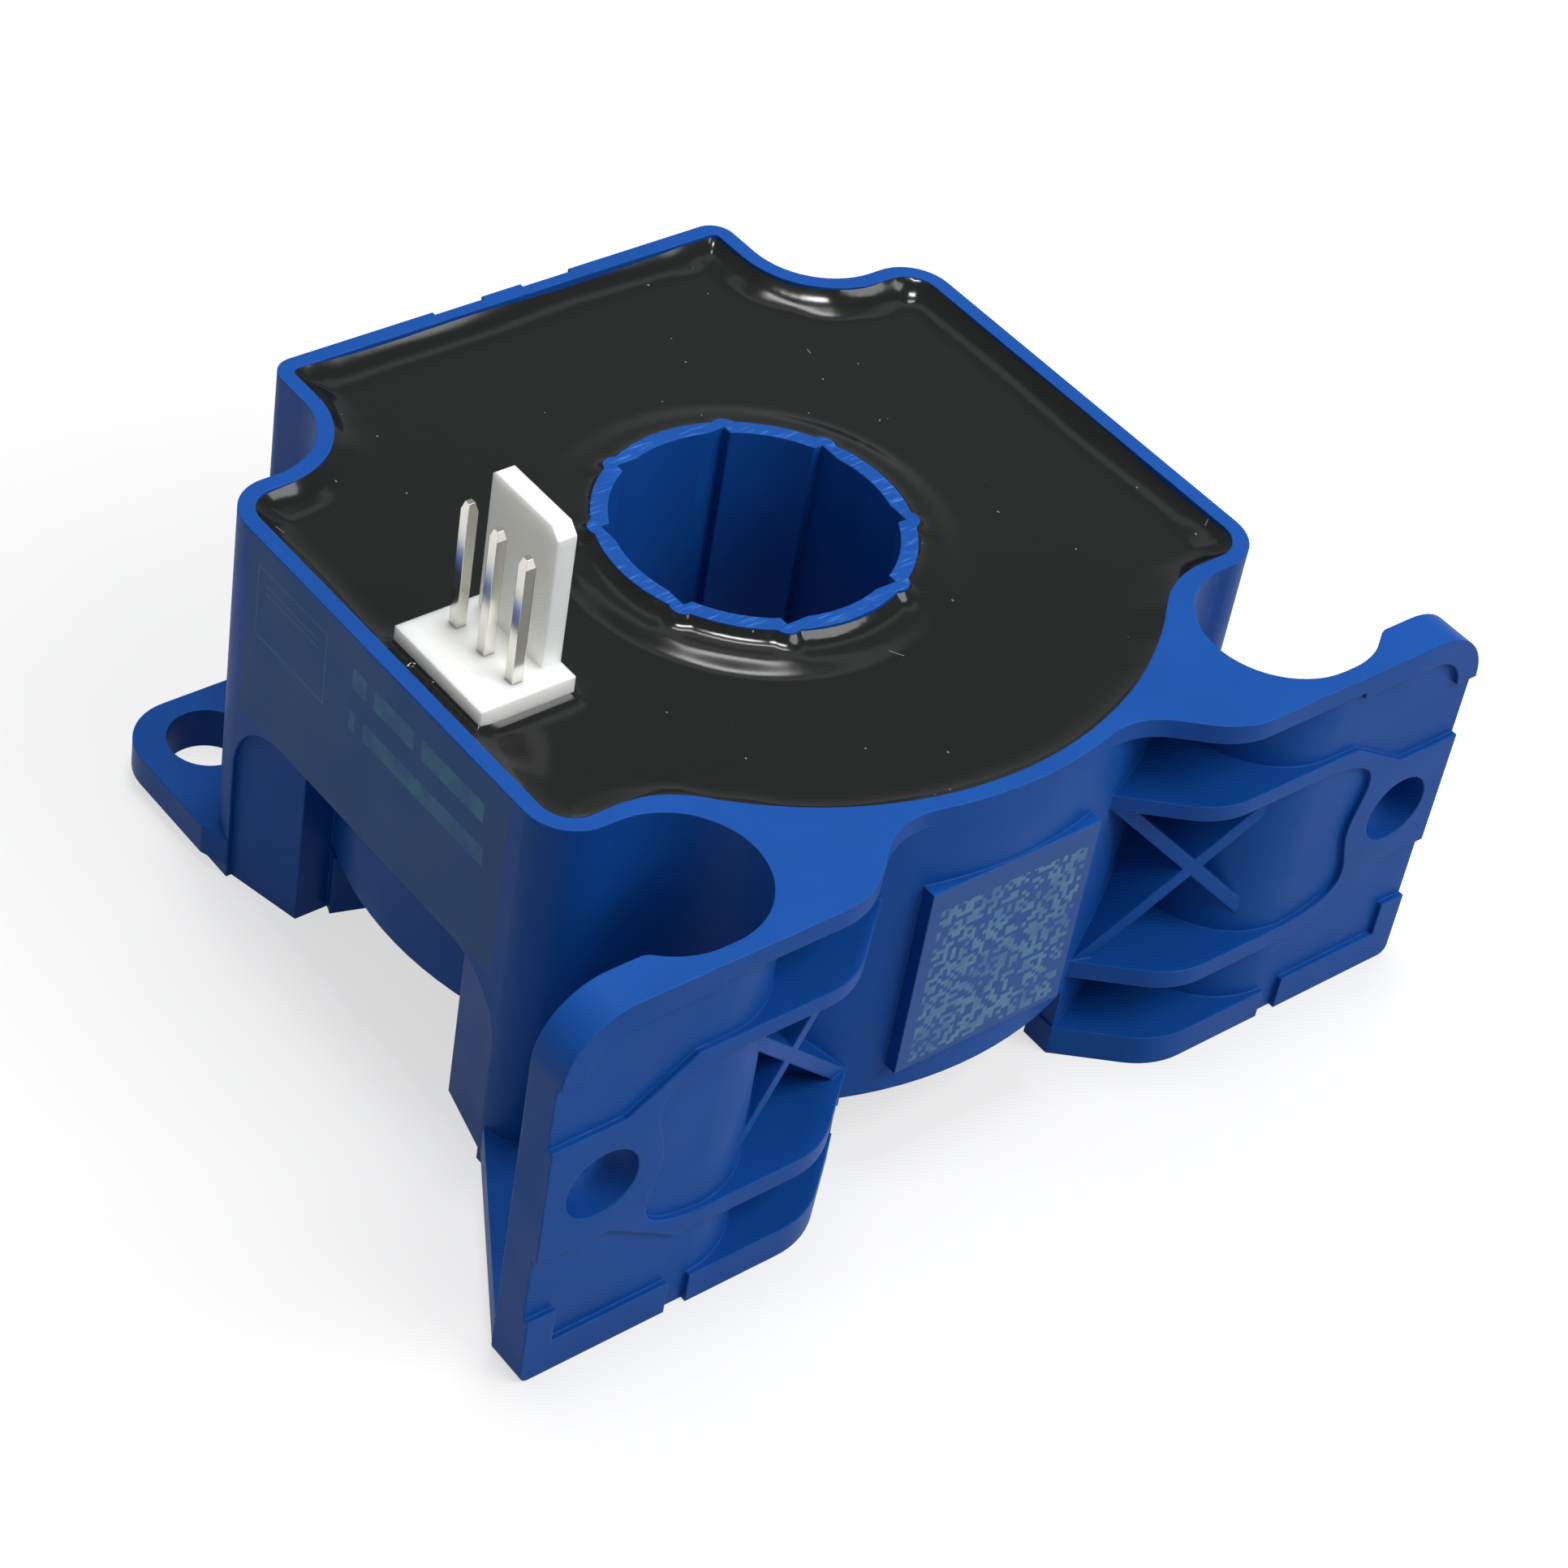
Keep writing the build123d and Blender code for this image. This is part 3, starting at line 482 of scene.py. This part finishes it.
def make_materials():
    """One material for each of the record's slots."""
    metals = [                   # slot, dark and light colour, roughness, scale of the streaks
        ("tinned_pin", (0.66, 0.64, 0.58, 1), (0.84, 0.82, 0.76, 1), 0.16, 900.0),
        ("core_steel", (0.20, 0.20, 0.22, 1), (0.34, 0.34, 0.36, 1), 0.4, 1500.0),
        ("enamelled_wire", (0.45, 0.16, 0.06, 1), (0.62, 0.26, 0.11, 1), 0.3, 2500.0),
    ]
    mouldings = [                # slot, dark and light colour, roughness, scale of the grain
        ("board_laminate", (0.02, 0.16, 0.06, 1), (0.03, 0.22, 0.09, 1), 0.35, 1800.0),
        ("cup_plastic", (0.05, 0.05, 0.05, 1), (0.08, 0.08, 0.08, 1), 0.5, 1200.0),
        ("chip_epoxy", (0.02, 0.02, 0.02, 1), (0.04, 0.04, 0.04, 1), 0.5, 4000.0),
        ("capacitor_resin", (0.62, 0.42, 0.08, 1), (0.72, 0.5, 0.12, 1), 0.4, 3000.0),
        ("chip_ceramic", (0.42, 0.34, 0.26, 1), (0.52, 0.43, 0.34, 1), 0.45, 4000.0),
    ]
    made = {
        "blue_plastic": blue_plastic(),
        "black_potting": black_potting(),
        "white_nylon": white_nylon(),
    }
    for name, *look in metals:
        made[name] = metal(name, *look)
    for name, *look in mouldings:
        made[name] = moulded(name, *look)
    return made


def dress(piece, material):
    """Gives a piece one material."""
    piece.data.materials.clear()
    piece.data.materials.append(material)


# Outlines and points of the resin, seen from above

def distance_to(points, loop):
    """Distance from each point to a closed outline."""
    start = np.array(loop)
    run = np.roll(start, -1, axis=0) - start
    run_squared = (run**2).sum(1)
    nearest = np.empty(len(points))
    for first in range(0, len(points), points_at_once):
        some = slice(first, first + points_at_once)
        away = points[some, None, :] - start[None]
        share = np.clip((away * run[None]).sum(2) / run_squared, 0.0, 1.0)
        gap = np.sqrt(((away - share[..., None] * run[None]) ** 2).sum(2))
        nearest[some] = gap.min(1)
    return nearest


def encloses(loop, points):
    """Whether each point lies inside a closed outline."""
    x, y = points[:, 0], points[:, 1]
    odd = np.zeros(len(points), bool)
    for (x0, y0), (x1, y1) in zip(loop, loop[1:] + loop[:1]):
        if y0 == y1:
            continue
        crosses = (y0 > y) != (y1 > y)
        odd ^= crosses & (x < (x1 - x0) * (y - y0) / (y1 - y0) + x0)
    return odd


def in_resin(points, outlines):
    """Whether each point lies inside the first outline and outside the others."""
    within = encloses(outlines[0], points)
    for hole in outlines[1:]:
        within &= ~encloses(hole, points)
    return within


def trace_loops(edges):
    """Closed runs of vertices along a set of edges."""
    links = {}
    for edge in edges:
        a, b = edge.verts
        links.setdefault(a, []).append(b)
        links.setdefault(b, []).append(a)
    loops = []
    left = set(links)
    while left:
        first = min(left, key=lambda v: (v.co.x, v.co.y))
        loop = [first]
        left.discard(first)
        while True:
            onward = [v for v in links[loop[-1]] if v in left]
            if not onward:
                break
            loop.append(onward[0])
            left.discard(onward[0])
        loops.append(loop)
    return loops


def grid_points(low, high, step):
    """Points of an even triangular grid over a rectangle."""
    rise = step * math.sqrt(3) / 2
    rows = np.arange(low[1], high[1], rise)
    columns = np.arange(low[0], high[0], step)
    points = []
    for index, y in enumerate(rows):
        shift = step / 2 * (index % 2)
        points.append(np.stack([columns + shift, np.full(len(columns), y)], 1))
    return np.concatenate(points)


def clear_of_walls(points, outlines, clearance):
    """The points that stand clear of every wall, and how far each is from the nearest one."""
    points = points[in_resin(points, outlines)]
    nearest = np.min([distance_to(points, loop) for loop in outlines], axis=0)
    return points[nearest > clearance], nearest[nearest > clearance]


def surface_points(outlines, strip):
    """Points over the resin: closest among the bubbles, close near walls, wide elsewhere."""
    low, high = np.array(outlines[0]).min(0), np.array(outlines[0]).max(0)
    close, gaps = clear_of_walls(grid_points(low, high, resin_step), outlines, wall_clearance)
    close = close[gaps < resin_near]
    in_strip = (close > strip[0]).all(1) & (close < strip[1]).all(1)
    wide = grid_points(low, high, resin_step_open)
    wide, _ = clear_of_walls(wide, outlines, resin_near + resin_step)
    closest, _ = clear_of_walls(grid_points(*strip, bubble_step), outlines, bubble_clearance)
    return np.concatenate([close[~in_strip], wide, closest])


def triangulate(outlines, inner):
    """Points, triangles between them, and the point that each outline point became."""
    lines = []
    first = 0
    for loop in outlines:
        count = len(loop)
        lines += [(first + i, first + (i + 1) % count) for i in range(count)]
        first += count
    points = np.concatenate([np.array(loop) for loop in outlines] + [inner])
    flat_points = [Vector(p) for p in points / MM]
    joined, _, faces, origins, _, _ = delaunay_2d_cdt(flat_points, lines, [], 0, join_slack)
    placed = np.array([(p.x, p.y) for p in joined]) * MM
    corners = placed[np.array(faces)]
    side = corners[:, 1] - corners[:, 0]
    other = corners[:, 2] - corners[:, 0]
    spread = np.abs(side[:, 0] * other[:, 1] - side[:, 1] * other[:, 0])
    keep = in_resin(corners.mean(1), outlines) & (spread > least_spread)
    triangles = [face for face, kept in zip(faces, keep) if kept]
    became = {source: index for index, sources in enumerate(origins) for source in sources}
    return placed, triangles, became


# Height of the resin

def smooth_step(value, low, high):
    """0 below low, 1 above high, and an even S between them."""
    share = np.clip((value - low) / (high - low), 0.0, 1.0)
    return share * share * (3.0 - 2.0 * share)


def uneven(angle, waves):
    """A factor near 1 that rises and falls round the axis."""
    factor = 1.0
    for share, turns, phase in waves:
        factor = factor + share * np.sin(turns * angle + phase)
    return factor


def resin_height(points, outlines, bubbles):
    """How far the resin stands above its level at each point."""
    x, y = points[:, 0], points[:, 1]
    wall, tube, header = [distance_to(points, loop) for loop in outlines]
    angle = np.arctan2(y, x)

    climb = np.clip(1.0 - wall / wall_rise_length, 0.0, 1.0)
    height = wall_rise * uneven(angle, wall_waves) * climb**wall_rise_power
    notches = [(side * notch_x, end * notch_y) for side in (-1, 1) for end in (-1, 1)]
    from_notch = np.min([np.hypot(x - across, y - along) for across, along in notches], axis=0)
    beside_notch = 1.0 - smooth_step(from_notch, *notch_reach)
    lump = lump_middle + lump_swing * np.sin(x / lump_pitch[0]) * np.sin(y / lump_pitch[1])
    height += lump_rise * beside_notch * lump * smooth_step(climb, *lump_climb)

    height += tube_rise * np.exp(-tube / tube_rise_length)
    beyond_tube = np.hypot(x, y) - tube_radius
    height += swell_rise * uneven(angle, swell_waves) * (1.0 - smooth_step(beyond_tube, *swell_ends))
    height += header_rise * np.exp(-header / header_rise_length)
    height += header_swell * (1.0 - smooth_step(header, *header_swell_ends))
    height = np.minimum(height, highest_rise)
    height += sag * np.sin(x / sag_pitch[0] + sag_phase) * np.sin(y / sag_pitch[1])

    for across, along, radius in bubbles:
        near = ((x - across) ** 2 + (y - along) ** 2) / radius**2
        height += bubble_dome * radius * np.sqrt(np.clip(1.0 - near, 0.0, 1.0))
    return height


# Resin piece

def open_top(bm):
    """Takes the level top off the resin, and returns its level and the outlines left open."""
    level = max(v.co.z for v in bm.verts)
    flat = [f for f in bm.faces if all(abs(v.co.z - level) < level_slack for v in f.verts)]
    chosen = set(flat)
    rim = [e for e in bm.edges if sum(f in chosen for f in e.link_faces) == 1]
    by_cuts = {}
    for edge in rim:
        by_cuts.setdefault(int(edge.calc_length() / resin_step), []).append(edge)
    bmesh.ops.delete(bm, geom=flat, context="FACES_ONLY")
    for cuts, edges in sorted(by_cuts.items()):
        if cuts:
            bmesh.ops.subdivide_edges(bm, edges=edges, cuts=cuts)
    return level, trace_loops([e for e in bm.edges if len(e.link_faces) == 1])


def in_order(loops, header_middle):
    """The outlines with the housing's first, then the tube's, then the header's."""
    def rank(loop):
        middle = sum((v.co for v in loop), Vector()) / len(loop)
        if max((v.co - middle).length for v in loop) > housing_reach:
            return 0
        return 2 if (middle.xy - header_middle.xy).length < header_reach else 1

    return sorted(loops, key=rank)


def make_bubbles(strip):
    """Random bubbles in a strip, each as its place and radius."""
    rng = random.Random(bubble_seed)
    (left, front), (right, rear) = strip
    bubbles = []
    for _ in range(bubble_count):
        place = (rng.uniform(left, right), rng.uniform(front, rear))
        bubbles.append((*place, rng.uniform(*bubble_radius) * MM))
    return bubbles


def resin():
    """The cast resin with the surface it set to: raised at every wall, low and even between."""
    bm = bmesh.new()
    bm.from_mesh(nodes["potting_compound"].data)
    bmesh.ops.remove_doubles(bm, verts=bm.verts, dist=weld_distance)
    level, loops = open_top(bm)
    header_low, header_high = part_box("header_body")
    loops = in_order(loops, (header_low + header_high) / 2)
    outlines = [[(v.co.x, v.co.y) for v in loop] for loop in loops]
    strip = (
        (header_low.x - bubbles_far, header_low.y - bubbles_past_front),
        (header_low.x - bubbles_near, header_high.y + bubbles_past_rear),
    )

    placed, triangles, became = triangulate(outlines, surface_points(outlines, strip))
    heights = resin_height(placed, outlines, make_bubbles(strip))
    tops = [bm.verts.new((x, y, level + h)) for (x, y), h in zip(placed, heights)]
    for triangle in triangles:
        bm.faces.new([tops[i] for i in triangle])
    first = 0
    for loop in loops:
        count = len(loop)
        upper = [tops[became[first + i]] for i in range(count)]
        for i in range(count):
            j = (i + 1) % count
            bm.faces.new((loop[i], loop[j], upper[j], upper[i]))
        first += count
    bmesh.ops.delete(bm, geom=[v for v in bm.verts if not v.link_faces], context="VERTS")
    bmesh.ops.recalc_face_normals(bm, faces=bm.faces)
    for face in bm.faces:
        on_top = face.calc_center_median().z > level - smooth_depth
        face.smooth = on_top and face.normal.z > smooth_least_rise

    mesh = bpy.data.meshes.new("resin_fill")
    bm.to_mesh(mesh)
    bm.free()
    piece = bpy.data.objects.new("resin_fill", mesh)
    bpy.context.scene.collection.objects.link(piece)
    return piece


# Studio

def make_floor():
    """A wide pale floor that shows white to the camera and keeps the soft shadow."""
    mesh = bpy.data.meshes.new("floor")
    corners = [(-floor_half, -floor_half, 0), (floor_half, -floor_half, 0),
               (floor_half, floor_half, 0), (-floor_half, floor_half, 0)]
    mesh.from_pydata(corners, [], [(0, 1, 2, 3)])
    floor = bpy.data.objects.new("floor", mesh)
    bpy.context.scene.collection.objects.link(floor)
    material, tree, shader, _ = new_material("floor_paper")
    rays = add(tree, "LightPath")
    seen = calc(tree, "MAXIMUM", rays.outputs["Is Camera Ray"], rays.outputs["Is Glossy Ray"])
    seen = calc(tree, "MAXIMUM", seen, rays.outputs["Is Transmission Ray"])
    feed(tree, shader, {
        "Base Color": (floor_white, floor_white, floor_white, 1),
        "Roughness": 0.9,
        "Specular IOR Level": 0.0,
        "Emission Color": (1, 1, 1, 1),
        "Emission Strength": product(tree, seen, floor_lift),
    })
    dress(floor, material)


def lamp(name, place, aim, size_x, size_y, radiance, turn=0.0):
    """A rectangular soft lamp at a place, facing a point, turned about its own axis."""
    light = bpy.data.lights.new(name, "AREA")
    light.shape = "RECTANGLE"
    light.size = size_x
    light.size_y = size_y
    light.energy = radiance * math.pi * size_x * size_y
    item = bpy.data.objects.new(name, light)
    bpy.context.scene.collection.objects.link(item)
    facing = (Vector(aim) - Vector(place)).to_track_quat("-Z", "Y").to_matrix().to_4x4()
    item.matrix_world = Matrix.Translation(place) @ facing @ Matrix.Rotation(turn, 4, "Z")


def make_lights():
    """Overhead strips for the long highlights, a soft key from the right and a dim room."""
    away = Vector((camera_forward.x, camera_forward.y, 0.0)).normalized()
    across = Vector((camera_right.x, camera_right.y, 0.0)).normalized()
    strip_turn = math.atan2(across.y, across.x)
    for name, beyond, long_side, short_side, radiance in strips:
        place = away * beyond + Vector((0, 0, strip_height))
        lamp(name, place, place - Vector((0, 0, 1)), long_side, short_side, radiance, strip_turn)
    key_place = across * key_right - away * key_front + Vector((0, 0, key_height))
    lamp("key", key_place, key_aim, key_size, key_size, key_radiance)
    world = bpy.data.worlds.new("room")
    world.use_nodes = True
    background = world.node_tree.nodes["Background"]
    feed(world.node_tree, background, {"Color": room_light, "Strength": 1.0})
    bpy.context.scene.world = world


def make_camera():
    """The photograph's camera."""
    data = bpy.data.cameras.new("camera")
    data.sensor_width = sensor_width
    data.sensor_fit = "HORIZONTAL"
    data.lens = focal_pixels / frame_pixels * sensor_width
    data.clip_start = camera_nearest
    camera = bpy.data.objects.new("camera", data)
    bpy.context.scene.collection.objects.link(camera)
    turned = Matrix((camera_right, -camera_down, -camera_forward)).transposed().to_4x4()
    camera.matrix_world = Matrix.Translation(camera_place) @ turned
    bpy.context.scene.camera = camera


materials = make_materials()
for part in frame["record"]["subparts"]:
    dress(nodes[part["node"]], materials[part["material_slot"]])

fill_piece = resin()
dress(fill_piece, materials["black_potting"])
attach(fill_piece, "root")
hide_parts("potting_compound")

make_floor()
make_lights()
make_camera()
bpy.context.scene.view_settings.view_transform = "Standard"
